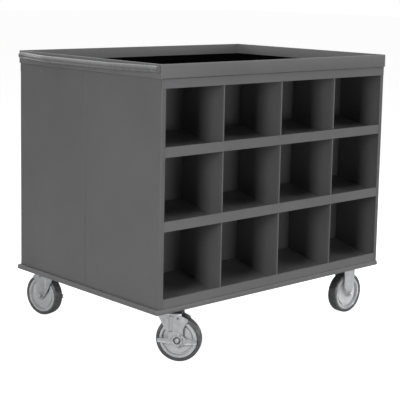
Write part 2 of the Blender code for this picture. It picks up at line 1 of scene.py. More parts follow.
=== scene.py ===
import json
import math
import bmesh
import bpy
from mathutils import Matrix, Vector


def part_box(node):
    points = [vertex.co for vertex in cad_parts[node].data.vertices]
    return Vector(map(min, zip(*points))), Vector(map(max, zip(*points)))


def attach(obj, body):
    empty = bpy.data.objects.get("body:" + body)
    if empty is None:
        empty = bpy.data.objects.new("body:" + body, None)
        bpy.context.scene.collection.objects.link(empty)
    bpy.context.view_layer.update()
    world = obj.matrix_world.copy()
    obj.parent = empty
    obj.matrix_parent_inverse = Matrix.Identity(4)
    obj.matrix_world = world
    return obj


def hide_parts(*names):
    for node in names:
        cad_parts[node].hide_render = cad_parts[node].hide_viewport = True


# Looks of a sheet steel workstation cart: folded panels, a lipped tray with a rubber mat,
# a welded tube handle and four casters, two of them swivelling with side brakes.

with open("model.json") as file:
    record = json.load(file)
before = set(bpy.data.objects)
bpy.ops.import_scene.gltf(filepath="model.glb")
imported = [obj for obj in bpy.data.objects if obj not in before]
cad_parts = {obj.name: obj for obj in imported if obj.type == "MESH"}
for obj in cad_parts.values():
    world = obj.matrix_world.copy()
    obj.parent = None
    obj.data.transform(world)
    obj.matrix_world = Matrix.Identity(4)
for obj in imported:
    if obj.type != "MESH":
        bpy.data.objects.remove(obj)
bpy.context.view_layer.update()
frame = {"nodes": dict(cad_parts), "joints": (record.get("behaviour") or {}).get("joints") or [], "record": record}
print("frame loaded")

# all lengths are in metres
touching = 0.00001  # two places closer than this count as one
doubles = 0.000005  # vertices closer than this are merged
foldAngle = 1.0  # radians: two faces that meet at more than this make a fold
facing = 0.9  # how well a normal has to agree with a direction
plumb = 0.999  # how much of its length an upright edge rises
cutEdge = 0.0004  # rounding of a cut sheet edge
turnedShade = 28  # degrees: sharper edges of a turned piece stay sharp
holeSides = 40


def deselect():
    if bpy.context.mode != "OBJECT":
        bpy.ops.object.mode_set(mode="OBJECT")
    bpy.ops.object.select_all(action="DESELECT")


def hold(piece):
    deselect()
    piece.select_set(True)
    bpy.context.view_layer.objects.active = piece


def choose(kind, test):
    # edit mode: selects the vertices, edges or faces that pass the test
    bpy.ops.mesh.select_mode(type=kind)
    bpy.ops.mesh.select_all(action="DESELECT")
    mesh = bmesh.from_edit_mesh(bpy.context.object.data)
    for element in {"VERT": mesh.verts, "EDGE": mesh.edges, "FACE": mesh.faces}[kind]:
        if test(element):
            element.select_set(True)
    bmesh.update_edit_mesh(bpy.context.object.data)


def middle(edge):
    return (edge.verts[0].co + edge.verts[1].co) / 2


def upright(edge):
    way = edge.verts[1].co - edge.verts[0].co
    return abs(way.z) > plumb * way.length


def meets(place, level):
    return abs(place - level) < touching


def extrudeBy(way):
    bpy.ops.mesh.extrude_region_move(TRANSFORM_OT_translate={"value": way})


def finishMesh():
    # edit mode: merges doubles and turns the faces outwards
    bpy.ops.mesh.select_all(action="SELECT")
    bpy.ops.mesh.remove_doubles(threshold=doubles)
    bpy.ops.mesh.dissolve_degenerate(threshold=doubles)
    bpy.ops.mesh.normals_make_consistent(inside=False)
    bpy.ops.object.mode_set(mode="OBJECT")


def modify(piece, kind, **settings):
    hold(piece)
    modifier = piece.modifiers.new(kind.title(), kind)
    for name, value in settings.items():
        setattr(modifier, name, value)
    bpy.ops.object.modifier_apply(modifier=modifier.name)


def shade(piece, angle):
    # smooth, with the edges sharper than the angle in degrees kept
    hold(piece)
    bpy.ops.object.shade_smooth_by_angle(angle=math.radians(angle))


def softEdges(piece, width, segments=2, angle=32):
    # rounds the sharp edges, so that they catch a thin line of light
    modify(piece, "BEVEL", width=width, segments=segments, limit_method="ANGLE",
           angle_limit=math.radians(angle), use_clamp_overlap=True)
    shade(piece, angle)
    modify(piece, "WEIGHTED_NORMAL", keep_sharp=True)  # flat faces stay flat beside their bends


def settle(piece):
    # the place goes into the mesh, as on a CAD node
    hold(piece)
    bpy.ops.object.transform_apply(location=True, rotation=True, scale=True)


def takeNew(name):
    # the primitive that was just added, named and settled
    piece = bpy.context.object
    piece.name = piece.data.name = name
    settle(piece)
    return piece


def drawLine(name, points, closed=False):
    # one vertex, merged from a small plane, extruded from point to point and left selected in edit mode
    deselect()
    bpy.ops.mesh.primitive_plane_add(size=0.001, location=(0, 0, 0))
    piece = bpy.context.object
    piece.name = piece.data.name = name
    bpy.ops.object.mode_set(mode="EDIT")
    bpy.ops.mesh.select_mode(type="VERT")
    bpy.ops.mesh.select_all(action="SELECT")
    bpy.ops.mesh.merge(type="CENTER")
    bpy.ops.transform.translate(value=Vector(points[0]))
    for here, there in zip(points, points[1:]):
        bpy.ops.mesh.extrude_vertices_move(TRANSFORM_OT_translate={"value": Vector(there) - Vector(here)})
    bpy.ops.mesh.select_all(action="SELECT")
    if closed:
        ends = [Vector(points[0]), Vector(points[-1])]
        choose("VERT", lambda v: min((v.co - end).length for end in ends) < touching)
        bpy.ops.mesh.edge_face_add()
        bpy.ops.mesh.select_all(action="SELECT")
    return piece


def bendSheet(name, path, places, axis, outward, thickness, bend, segments, cutOut=None):
    # a sheet: a line along the fold, swept from fold to fold, notched, bent and given its thickness
    piece = drawLine(name, [Vector(path[0]) + Vector(axis) * place for place in places])
    for here, there in zip(path, path[1:]):
        extrudeBy(Vector(there) - Vector(here))
    if cutOut:
        choose("FACE", lambda f: cutOut(f.calc_center_median()))
        bpy.ops.mesh.delete(type="FACE")
    bpy.ops.mesh.select_all(action="SELECT")
    bpy.ops.mesh.normals_make_consistent(inside=False)
    mesh = bmesh.from_edit_mesh(piece.data)
    widest = max(mesh.faces, key=lambda f: f.calc_area() * abs(f.normal.dot(Vector(outward))))
    if widest.normal.dot(Vector(outward)) < 0:
        bpy.ops.mesh.flip_normals()
    choose("EDGE", lambda e: e.calc_face_angle(0) > foldAngle)
    bpy.ops.mesh.bevel(offset=bend, segments=segments, affect="EDGES")
    bpy.ops.object.mode_set(mode="OBJECT")
    modify(piece, "SOLIDIFY", thickness=thickness, offset=-1, use_even_offset=True)
    return piece


def block(name, low, high, corner=0, cornerSegments=0, edge=0):
    # a cube at its size and place, with its upright corners rounded and its edges eased
    deselect()
    bpy.ops.mesh.primitive_cube_add(size=1, location=(low + high) / 2, scale=high - low)
    piece = takeNew(name)
    if corner:
        bpy.ops.object.mode_set(mode="EDIT")
        choose("EDGE", upright)
        bpy.ops.mesh.bevel(offset=corner, segments=cornerSegments, affect="EDGES")
        bpy.ops.object.mode_set(mode="OBJECT")
    if edge:
        softEdges(piece, edge)
    return piece


def turnProfile(name, profile, axis, steps, centre=(0, 0, 0)):
    # a profile of (radius, height), drawn point by point and spun about the axis
    along = Vector((0, 1, 0)) if axis == "Y" else Vector((0, 0, 1))
    points = [Vector(centre) + Vector((radius, 0, 0)) + along * height for radius, height in profile]
    piece = drawLine(name, points, closed=True)
    bpy.ops.mesh.spin(steps=steps, angle=2 * math.pi, center=Vector(centre), axis=along, use_auto_merge=True)
    finishMesh()
    shade(piece, turnedShade)
    return piece


def raised(profile, level):
    # a profile whose heights are counted from this level
    return [(radius, level + rise) for radius, rise in profile]


def mirrored(half):
    # the whole profile of a wheel piece; a point on its middle plane isn't repeated
    return half + [(radius, -y) for radius, y in half[::-1] if y]


def outlinePlate(name, outline, axis, low, high):
    # a closed outline, filled and grown along an axis, with its corners as drawn
    order = {"Y": (0, 2, 1), "Z": (0, 1, 2)}[axis]
    piece = drawLine(name, [Vector([(a, b, low)[i] for i in order]) for a, b in outline], closed=True)
    bpy.ops.mesh.edge_face_add()
    extrudeBy(Vector([(0, 0, high - low)[i] for i in order]))
    finishMesh()
    return piece


def arc(centre, radius, start, end, steps):
    turns = [math.radians(start + (end - start) * step / steps) for step in range(steps + 1)]
    return [(centre[0] + radius * math.cos(a), centre[1] + radius * math.sin(a)) for a in turns]


def roundCorners(outline, radius, steps):
    # the outline with each corner cut by a short curve, which takes less than half of a side
    made = []
    most = 0.45
    for index in range(len(outline)):
        before, corner, after = (Vector(outline[(index + shift) % len(outline)]) for shift in (-1, 0, 1))
        back, on = before - corner, after - corner
        reach = min(radius, back.length * most, on.length * most)
        start, end = corner + back.normalized() * reach, corner + on.normalized() * reach
        for step in range(steps + 1):
            share = step / steps
            made.append(start.lerp(corner, share).lerp(corner.lerp(end, share), share))
    return [tuple(point) for point in made]


def boolean(piece, other, operation):
    modify(piece, "BOOLEAN", object=other, operation=operation, solver="EXACT")
    bpy.data.objects.remove(other)


def joinPieces(name, pieces):
    deselect()
    for piece in pieces:
        piece.select_set(True)
    bpy.context.view_layer.objects.active = pieces[0]
    bpy.ops.object.join()
    pieces[0].name = pieces[0].data.name = name
    return pieces[0]


def placeCopy(template, name, place, turn):
    # a copy with its own mesh, turned about the vertical and moved, with both put into the mesh
    hold(template)
    bpy.ops.object.duplicate(linked=False)
    piece = bpy.context.object
    piece.name = piece.data.name = name
    piece.rotation_euler.z = turn
    piece.location = place
    settle(piece)
    return piece


def tone(hexCode):
    # sRGB hex to the linear values that the shaders take
    channels = [int(hexCode[start:start + 2], 16) / 255 for start in (1, 3, 5)]
    return [c / 12.92 if c <= 0.04045 else ((c + 0.055) / 1.055) ** 2.4 for c in channels] + [1]


def addNode(tree, kind, settings, links=None):
    # one node with its settings, by property or socket, and what feeds its sockets
    node = tree.nodes.new(kind)
    for name, value in settings.items():
        if isinstance(name, str) and hasattr(node, name):
            setattr(node, name, value)
        else:
            node.inputs[name].default_value = value
    for name, (source, output) in (links or {}).items():
        tree.links.new(source.outputs[output], node.inputs[name])
    return node


# In each finish, the tone and the roughness drift between their two values over patches,
# and the grain is fine relief of the given size and depth.
powderCoat = {"tonePatch": 0.22, "toneDetail": 3.0, "roughPatch": 0.05, "grain": 0.0032, "grainDepth": 0.00012,
              "grainStrength": 0.25, "shader": {"Roughness": 0.42, "IOR": 1.5}}
zincPlate = {"tonePatch": 0.012, "toneDetail": 5.0, "roughPatch": 0.006, "grain": 0.0016, "grainDepth": 0.00006,
             "grainStrength": 0.3, "shader": {"Metallic": 1.0}}
finishes = {
    # polyester powder baked on steel: an even satin skin with a faint orange peel (really 1 mm, drawn coarser)
    "powderCoatPanels": {**powderCoat, "colour": "#636364", "tones": ("#606061", "#666667"), "rough": (0.37, 0.47)},
    # the same powder on the folded sheets that face the front, painted a shade lighter: painted light for the
    # stronger light that falls on the front faces
    "powderCoatEdgesPaintedLighter": {**powderCoat, "colour": "#6c6c6d", "tones": ("#69696a", "#6f6f70"), "rough": (0.37, 0.47)},
    # the same powder on drawn tube, which is smoother than rolled sheet and gives longer highlights; it takes the
    # painted-lighter tone of the front-facing sheets
    "powderCoatTube": {**powderCoat, "colour": "#6c6c6d", "tones": ("#69696a", "#6f6f70"), "rough": (0.22, 0.30)},
    # bright zinc plate on pressed steel: a cool metal, cloudy from the bath, with fine drawing marks
    "brightZincPlate": {**zincPlate, "colour": "#b9bbbd", "tones": ("#a2a4a6", "#b9bbbd"), "rough": (0.35, 0.49)},
    # zinc plate on turned and forged bolts: lighter and shinier than on the pressings
    "zincPlatedBolts": {**zincPlate, "colour": "#d0d2d4", "tones": ("#b2b4b6", "#d0d2d4"), "rough": (0.24, 0.36)},
    # moulded grey polypropylene: a waxy, slightly cloudy surface
    "mouldedPolypropylene": {
        "colour": "#d2d3d4", "tones": ("#c8c9ca", "#d9dadb"), "tonePatch": 0.03, "toneDetail": 3.0,
        "rough": (0.38, 0.5), "roughPatch": 0.01, "grain": 0.0012, "grainDepth": 0.00005, "grainStrength": 0.25,
        "shader": {"IOR": 1.49}},
    # dark grey thermoplastic rubber, fresh from a polished mould: it shines softly, with a faint bloom
    "mouldedTyreRubber": {
        "colour": "#545455", "tones": ("#4a4a4b", "#5e5e5f"), "tonePatch": 0.018, "toneDetail": 4.0,
        "rough": (0.20, 0.32), "roughPatch": 0.008, "grain": 0.0014, "grainDepth": 0.00006, "grainStrength": 0.25,
        "shader": {"IOR": 1.52, "Specular IOR Level": 0.7}},
    # black nitrile sheet: dead matt, with a pebbled skin and a little dust in it
    "pebbledNitrileRubber": {
        "colour": "#040404", "tones": ("#020202", "#060606"), "tonePatch": 0.06, "toneDetail": 3.0,
        "rough": (0.78, 0.92), "roughPatch": 0.02, "grain": 0.0022, "grainDepth": 0.00018, "grainStrength": 0.5,
        "shader": {"IOR": 1.5, "Specular IOR Level": 0.0}},
}


def makeFinish(name):
    finish = finishes[name]
    material = bpy.data.materials.new(name)
    material.use_nodes = True
    tree = material.node_tree
    shader = tree.nodes["Principled BSDF"]
    shader.inputs["Base Color"].default_value = tone(finish["colour"])
    for socket, value in finish["shader"].items():
        shader.inputs[socket].default_value = value
    place = {"Vector": (addNode(tree, "ShaderNodeTexCoord", {}), "Object")}

    clouds = addNode(tree, "ShaderNodeTexNoise",
                     {"Scale": 1 / finish["tonePatch"], "Detail": finish["toneDetail"], "Roughness": 0.55}, place)
    spread = addNode(tree, "ShaderNodeMapRange", {"From Min": 0.32, "From Max": 0.68}, {"Value": (clouds, "Fac")})
    mix = addNode(tree, "ShaderNodeMix",
                  {"data_type": "RGBA", 6: tone(finish["tones"][0]), 7: tone(finish["tones"][1])},
                  {0: (spread, "Result")})
    tree.links.new(mix.outputs[2], shader.inputs["Base Color"])

    smears = addNode(tree, "ShaderNodeTexNoise", {"Scale": 1 / finish["roughPatch"], "Detail": 4.0}, place)
    rough = addNode(tree, "ShaderNodeMapRange",
                    {"From Min": 0.3, "From Max": 0.7, "To Min": finish["rough"][0], "To Max": finish["rough"][1]},
                    {"Value": (smears, "Fac")})
    tree.links.new(rough.outputs["Result"], shader.inputs["Roughness"])

    grains = addNode(tree, "ShaderNodeTexNoise", {"Scale": 1 / finish["grain"], "Detail": 2.0}, place)
    bump = addNode(tree, "ShaderNodeBump", {"Strength": finish["grainStrength"], "Distance": finish["grainDepth"]},
                   {"Height": (grains, "Fac")})
    tree.links.new(bump.outputs["Normal"], shader.inputs["Normal"])
    return material


# edge_steel gets the lighter copy of the panel powder: painted light for the sheets that face the front
slotFinish = {"panel_steel": makeFinish("powderCoatPanels"), "edge_steel": makeFinish("powderCoatEdgesPaintedLighter"),
              "zinc_plate": makeFinish("brightZincPlate"), "bolt_steel": makeFinish("zincPlatedBolts"),
              "wheel_core": makeFinish("mouldedPolypropylene"), "tyre": makeFinish("mouldedTyreRubber"),
              "mat": makeFinish("pebbledNitrileRubber")}
tubeCoat = makeFinish("powderCoatTube")
print("materials made")


def dress(piece, slotName, body, *nodes):
    # finish, material slot, body and the CAD nodes that the piece stands for
    piece.data.materials.clear()
    piece.data.materials.append(slotFinish[slotName])
    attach(piece, body)
    if nodes:
        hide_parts(*nodes)


# CAD nodes whose shape is kept get the same finishes
for entry in frame["record"]["subparts"]:
    for slot in frame["nodes"][entry["node"]].material_slots:
        slot.material = slotFinish[entry["material_slot"]]

binUnit = {"rows": 3, "columns": 4, "sheet": 0.0015, "bend": 0.0022, "bendSegments": 4, "gap": 0.0003,
           "relief": 0.0026, "sideFlange": 0.0145}
shelf = {"lipHeights": [0.0264, 0.0283, 0.0283], "slope": 0.042 / 0.173, "lipBend": 0.0010}
divider = {"sheet": 0.0012, "hemWidth": 0.0038, "hemDepth": 0.010, "hemSteps": 8, "spare": 0.05, "topRoom": 0.02,
           "shade": 32}
spotWeld = {"ball": 0.022, "depth": 0.0012, "level": 0.774, "left": 0.035, "right": 0.106, "segments": 48,
            "rings": 96, "shade": 14}

frontPanelLow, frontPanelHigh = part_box("front_end_panel_left")
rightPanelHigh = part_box("front_end_panel_right")[1]
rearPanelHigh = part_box("rear_end_panel_left")[1]
cartCentre = Vector(((frontPanelLow.x + rightPanelHigh.x) / 2, (frontPanelLow.y + rearPanelHigh.y) / 2, 0))
frontFace = frontPanelLow.y
seam = frontPanelHigh.y
endReach = rightPanelHigh.x - cartCentre.x


def foldBinSheet(name, path, places, axis, outward, bend, cutOut=None):
    piece = bendSheet(name, path, places, axis, outward, binUnit["sheet"], bend, binUnit["bendSegments"], cutOut)
    softEdges(piece, cutEdge)
    return piece


def makeEndPanel(name, side):
    edge = cartCentre.x + side * endReach
    flange = edge - side * binUnit["sideFlange"]
    relief = frontFace + binUnit["relief"]
    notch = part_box("front_top_panel")[0].z - binUnit["gap"]
    path = [(flange, frontFace, 0), (edge, frontFace, 0), (edge, relief, 0), (edge, seam, 0), (flange, seam, 0)]
    return foldBinSheet(name, path, [frontPanelLow.z, notch, frontPanelHigh.z], (0, 0, 1), (side, 0, 0),
                        binUnit["bend"], lambda c: c.z > notch and c.y < relief)


def pressSpot(piece, side, fromFront):
    # the spot weld of the panel's hidden bracket: a round shallow dimple in the outer face
    outer = cartCentre.x + side * endReach
    place = (outer + side * (spotWeld["ball"] - spotWeld["depth"]), frontFace + fromFront, spotWeld["level"])
    deselect()
    bpy.ops.mesh.primitive_uv_sphere_add(segments=spotWeld["segments"], ring_count=spotWeld["rings"],
                                         radius=spotWeld["ball"], location=place, rotation=(0, math.pi / 2, 0))
    boolean(piece, takeNew("ball"), "DIFFERENCE")
    shade(piece, spotWeld["shade"])
    modify(piece, "WEIGHTED_NORMAL", keep_sharp=True)
    return piece


def makeShelf(name, row):
    # a sloped floor with its upstanding lip, notched where the lip meets the side flanges
    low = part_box(f"front_shelf_{row + 1}")[0].z
    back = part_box(f"front_shelf_{row + 1}")[1].y
    reach = endReach - binUnit["sheet"] - binUnit["gap"]
    lipReach = endReach - binUnit["sideFlange"] - binUnit["gap"]
    relief = frontFace + binUnit["relief"]
    path = [(cartCentre.x, frontFace, low + shelf["lipHeights"][row]), (cartCentre.x, frontFace, low),
            (cartCentre.x, relief, low + binUnit["relief"] * shelf["slope"]),
            (cartCentre.x, back, low + (back - frontFace) * shelf["slope"])]
    return foldBinSheet(name, path, [-reach, -lipReach, lipReach, reach], (1, 0, 0), (0, 0, -1), shelf["lipBend"],
                        lambda c: abs(c.x - cartCentre.x) > lipReach and c.y < relief)


def makeDivider(name, node):
    # a web with a hemmed front edge, cut along the slope of the shelves
    low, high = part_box(node)
    x = (low.x + high.x) / 2
    nose, web = divider["hemWidth"] / 2, divider["sheet"] / 2
    hemBack = low.y + divider["hemDepth"]
    outline = arc((x, low.y + nose), nose, 180, 360, divider["hemSteps"])
    outline += [(x + nose, hemBack), (x + web, hemBack + nose), (x + web, high.y), (x - web, high.y),
                (x - web, hemBack + nose), (x - nose, hemBack)]
    piece = outlinePlate(name, outline, "Z", low.z - divider["spare"], high.z + divider["spare"])
    slope = Vector((0, -shelf["slope"], 1))
    cuts = [(Vector((x, low.y, low.z)), -slope)]
    if high.z < frontPanelHigh.z - divider["topRoom"]:
        cuts.append((Vector((x, high.y, high.z)), slope))
    else:  # the top row ends under the flat top panel
        cuts.append((Vector((x, low.y, high.z)), Vector((0, 0, 1))))
    bpy.ops.object.mode_set(mode="EDIT")
    for place, normal in cuts:
        bpy.ops.mesh.select_all(action="SELECT")
        bpy.ops.mesh.bisect(plane_co=place, plane_no=normal, use_fill=True, clear_outer=True)
    finishMesh()
    shade(piece, divider["shade"])
    return piece


def makeTopPanel(name):
    low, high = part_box("front_top_panel")
    path = [(cartCentre.x, high.y, high.z), (cartCentre.x, low.y, high.z), (cartCentre.x, low.y, low.z)]
    return foldBinSheet(name, path, [-endReach, endReach], (1, 0, 0), (0, 0, 1), binUnit["bend"])


def fitBoth(piece, slotName, frontNode, rearNode):
    # the rear unit is the front one turned half round about the middle of the cart
    rear = placeCopy(piece, f"rear_{piece.name.removeprefix('front_')}", 2 * cartCentre, math.pi)
    dress(piece, slotName, "cart", frontNode)
    dress(rear, slotName, "cart", rearNode)


for side, word, opposite in ((-1, "left", "right"), (1, "right", "left")):
    panel = pressSpot(makeEndPanel(f"front_endPanel_{word}", side), side, spotWeld[word])
    fitBoth(panel, "panel_steel", f"front_end_panel_{word}", f"rear_end_panel_{opposite}")
for row in range(binUnit["rows"]):
    node = f"shelf_{row + 1}"
    fitBoth(makeShelf(f"front_{node}_sheet", row), "edge_steel", f"front_{node}", f"rear_{node}")
    for column in range(1, binUnit["columns"]):
        node = f"divider_{row + 1}_{column}"
        fitBoth(makeDivider(f"front_hemmed_{node}", f"front_{node}"), "panel_steel", f"front_{node}", f"rear_{node}")
fitBoth(makeTopPanel("front_topPanel"), "edge_steel", "front_top_panel", "rear_top_panel")
print("bin units made")

# "opens" is 1 for a pan that is open at the top and -1 for one that is open below
tray = {"opens": 1, "wall": 0.0026, "floor": 0.0019, "corner": 0.0032, "fold": 0.0008, "rim": 0.0005,
        "outerRim": 0.0020}
deck = {"opens": -1, "wall": 0.0027, "floor": 0.0027, "corner": 0.004, "fold": 0.0018, "rim": 0.0009,
        "outerRim": 0.0012, "lean": 0.0014, "rollHeight": 0.0045, "rollDepth": 0.0006}
mat = {"corner": 0.003, "cornerSegments": 4, "edge": 0.0007}
pan = {"foldSegments": 5, "rimSegments": 4, "rimShare": 0.6, "rollShare": 0.6, "rollBend": 0.8, "shade": 35}


def drawIn(amount, centre, half):
    # what is selected comes in by this much on each of the four sides
    bpy.ops.transform.resize(value=(1 - amount / half.x, 1 - amount / half.y, 1), center_override=centre)


def makePan(name, node, shape):
    # a block whose mouth is inset by the wall and pushed in, with folded corners and edges
    low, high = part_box(node)
    centre, half = (low + high) / 2, (high - low) / 2
    piece = block(name, low, high)
    bpy.ops.object.mode_set(mode="EDIT")
    up = shape["opens"]
    base, mouth = (low.z, high.z) if up > 0 else (high.z, low.z)
    choose("EDGE", upright)
    bpy.ops.mesh.bevel(offset=shape["corner"], segments=pan["foldSegments"], affect="EDGES")
    choose("FACE", lambda f: f.normal.z * up > facing)
    bpy.ops.mesh.inset(thickness=shape["wall"])
    extrudeBy((0, 0, -up * (high.z - low.z - shape["floor"])))
    if "lean" in shape:
        choose("VERT", lambda v: abs(v.co.z - base) < shape["floor"] + touching)
        drawIn(shape["lean"], centre, half)
    choose("EDGE", lambda e: meets(middle(e).z, base) and e.calc_face_angle(0) > foldAngle)
    bpy.ops.mesh.bevel(offset=shape["fold"], segments=pan["foldSegments"], affect="EDGES")
    for outside, size in ((True, shape["outerRim"]), (False, shape["rim"])):
        def onRim(edge):
            at = middle(edge) - centre
            outer = max(abs(at.x) - half.x, abs(at.y) - half.y) > -shape["wall"] * pan["rimShare"]
            return meets(middle(edge).z, mouth) and edge.calc_face_angle(0) > foldAngle and outer == outside
        choose("EDGE", onRim)
        bpy.ops.mesh.bevel(offset=size, segments=pan["rimSegments"], affect="EDGES")
    if "rollDepth" in shape:  # the skirt's lower edge is rolled in a little
        knee = mouth - up * shape["rollHeight"]
        bpy.ops.mesh.select_all(action="SELECT")
        bpy.ops.mesh.bisect(plane_co=(centre.x, centre.y, knee), plane_no=(0, 0, 1))
        choose("VERT", lambda v: abs(v.co.z - mouth) < shape["rollHeight"] * pan["rollShare"])
        drawIn(shape["rollDepth"], centre, half)
        choose("EDGE", lambda e: all(meets(v.co.z, knee) for v in e.verts))
        bpy.ops.mesh.bevel(offset=shape["rollDepth"] * pan["rollBend"], segments=pan["rimSegments"], affect="EDGES")
    finishMesh()
    shade(piece, pan["shade"])
    return piece


dress(makePan("trayPan", "tray_top", tray), "edge_steel", "cart", "tray_top")
dress(makePan("deckPan", "base_deck", deck), "edge_steel", "cart", "base_deck")
matLow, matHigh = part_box("rubber_mat")
dress(block("trayMat", matLow, matHigh, mat["corner"], mat["cornerSegments"], mat["edge"]), "mat", "cart",
      "rubber_mat")
print("tray, mat and deck made")

handle = {"radius": 0.0095, "seat": 0.028, "leg": 0.136, "standoff": 0.032, "below": 0.0135, "bend": 0.010,
          "bendSegments": 8, "tubeResolution": 8, "capRound": 0.0018, "capSegments": 4, "capAngle": 60}
# the fillet runs along the tube above and below it, and round its closed end
weld = {"size": 0.0024, "pitch": 0.0024, "height": 0.0062, "inside": 0.0019, "wobble": 0.0004, "wobbleTurn": 2.3,
        "sideShares": (0.8, 0.78, 1), "endShares": (0.7, 0.75, 0.8), "endTurns": (-50, -25, 0, 25, 50),
        "endSink": 0.0012, "crown": 0.7, "crownShares": (0.8, 1.15, 0.9), "segments": 14, "rings": 8}
handleLow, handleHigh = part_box("push_handle")
handleSeat = handleHigh.x - handle["radius"]
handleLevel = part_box("tray_top")[1].z - handle["below"]


def makeHandle():
    # one bent tube, closed at both ends where it is welded to the lip
    grip = handleSeat - handle["standoff"]
    near, far = handleLow.y, handleHigh.y
    legEnd = handle["seat"] + handle["leg"]
    points = [(handleSeat, near, handleLevel), (handleSeat, near + handle["seat"], handleLevel),
              (grip, near + legEnd, handleLevel), (grip, far - legEnd, handleLevel),
              (handleSeat, far - handle["seat"], handleLevel), (handleSeat, far, handleLevel)]
    piece = drawLine("handleTube", points)
    choose("VERT", lambda v: len(v.link_edges) == 2)
    bpy.ops.mesh.bevel(offset=handle["bend"], segments=handle["bendSegments"], affect="VERTICES")
    hold(piece)
    bpy.ops.object.convert(target="CURVE")
    curve = bpy.context.object.data
    curve.bevel_depth = handle["radius"]
    curve.bevel_resolution = handle["tubeResolution"]
    curve.use_fill_caps = True
    bpy.ops.object.convert(target="MESH")
    piece = bpy.context.object
    hold(piece)
    bpy.ops.object.mode_set(mode="EDIT")
    finishMesh()
    softEdges(piece, handle["capRound"], handle["capSegments"], handle["capAngle"])
    return piece


def addBead(place, shares):
    # one ripple of a weld: a ball pressed flat, with a rounded crown
    size = [weld["size"] * share for share in shares]
    deselect()
    bpy.ops.mesh.primitive_uv_sphere_add(segments=weld["segments"], ring_count=weld["rings"], radius=1,
                                         location=place, scale=size)
    bead = takeNew("bead")
    bpy.ops.object.mode_set(mode="EDIT")
    choose("VERT", lambda v: v.co.z > place[2] + size[2] * weld["crown"])
    bpy.ops.transform.resize(value=weld["crownShares"], center_override=place)
    bpy.ops.object.mode_set(mode="OBJECT")
    bpy.ops.object.shade_smooth()
    return bead


def makeWelds():
    # fillet welds above and below the line where each end of the tube lies on the lip
    beads = []
    for end, way in ((handleLow.y, 1), (handleHigh.y, -1)):
        for rise in (-1, 1):
            for step in range(int(handle["seat"] / weld["pitch"])):
                wobble = weld["wobble"] * math.sin(weld["wobbleTurn"] * step + rise)
                y = end + way * (weld["size"] + step * weld["pitch"])
                z = handleLevel + rise * (weld["height"] + wobble)
                beads.append(addBead((handleHigh.x - weld["inside"], y, z), weld["sideShares"]))
        for turn in weld["endTurns"]:
            angle = math.radians(turn)
            reach = handle["radius"] - weld["endSink"]
            beads.append(addBead((handleSeat + reach * math.cos(angle), end + way * weld["inside"],
                                  handleLevel + reach * math.sin(angle)), weld["endShares"]))
    return joinPieces("handleWelds", beads)


for piece, nodes in ((makeHandle(), ["push_handle"]), (makeWelds(), [])):
    dress(piece, "edge_steel", "cart", *nodes)
    piece.data.materials[0] = tubeCoat
print("handle made")

caster = {"wheelRadius": 0.0635, "plateBottom": 0.15575, "deckInside": 0.1635}
plate = {"thickness": 0.003, "long": 0.095, "wide": 0.067, "corner": 0.008, "cornerSegments": 6, "edge": 0.0005}
plateBolt = {"long": 0.076, "wide": 0.044, "head": 0.0072, "headHeight": 0.0052, "headGap": 0.0012,
             "chamfer": 0.0008, "crown": 0.0004, "edge": 0.0003, "washer": 0.0084, "washerSheet": 0.0011,
             "washerSteps": 32, "shank": 0.004, "shankStart": 0.001, "shankSteps": 20}
wheelRadius = caster["wheelRadius"]


def makePlate(name):
    x, y, bottom = plate["long"] / 2, plate["wide"] / 2, caster["plateBottom"]
    return block(name, Vector((-x, -y, bottom)), Vector((x, y, bottom + plate["thickness"])), plate["corner"],
                 plate["cornerSegments"], plate["edge"])


def makeHexagon(radius, depth, place, outward, shape):
    # a hexagon head or nut, with its outer face inset, sometimes raised, and its edges eased
    way = Vector(outward)
    deselect()
    bpy.ops.mesh.primitive_cylinder_add(vertices=6, radius=radius, depth=depth, location=place,
                                        rotation=(math.pi / 2 if way.y else 0, 0, 0))
    piece = takeNew("hexagon")
    bpy.ops.object.mode_set(mode="EDIT")
    choose("FACE", lambda f: f.normal.dot(way) > facing)
    bpy.ops.mesh.inset(thickness=shape["chamfer"])
    if "crown" in shape:
        extrudeBy(way * shape["crown"])
    bpy.ops.object.mode_set(mode="OBJECT")
    softEdges(piece, shape["edge"])
    return piece


def makeBolts(name):
    # hexagon bolts with a flat washer, headed under the plate
    under = caster["plateBottom"]
    bottom = under - plateBolt["headHeight"]
    depth = plateBolt["headHeight"] - plateBolt["headGap"]
    shank, washer = plateBolt["shank"], plateBolt["washer"]
    washerProfile = raised([(shank, -plateBolt["washerSheet"]), (washer, -plateBolt["washerSheet"]), (washer, 0),
                            (shank, 0)], under)
    start, end = bottom + plateBolt["shankStart"], caster["deckInside"]
    shankProfile = [(0, start), (shank, start), (shank, end), (0, end)]
    bolts = []
    for x in (-plateBolt["long"] / 2, plateBolt["long"] / 2):
        for y in (-plateBolt["wide"] / 2, plateBolt["wide"] / 2):
            bolts += [makeHexagon(plateBolt["head"], depth, (x, y, bottom + depth / 2), (0, 0, -1), plateBolt),
                      turnProfile("washer", washerProfile, "Z", plateBolt["washerSteps"], (x, y, 0)),
                      turnProfile("shank", shankProfile, "Z", plateBolt["shankSteps"], (x, y, 0))]
    return joinPieces(name, bolts)


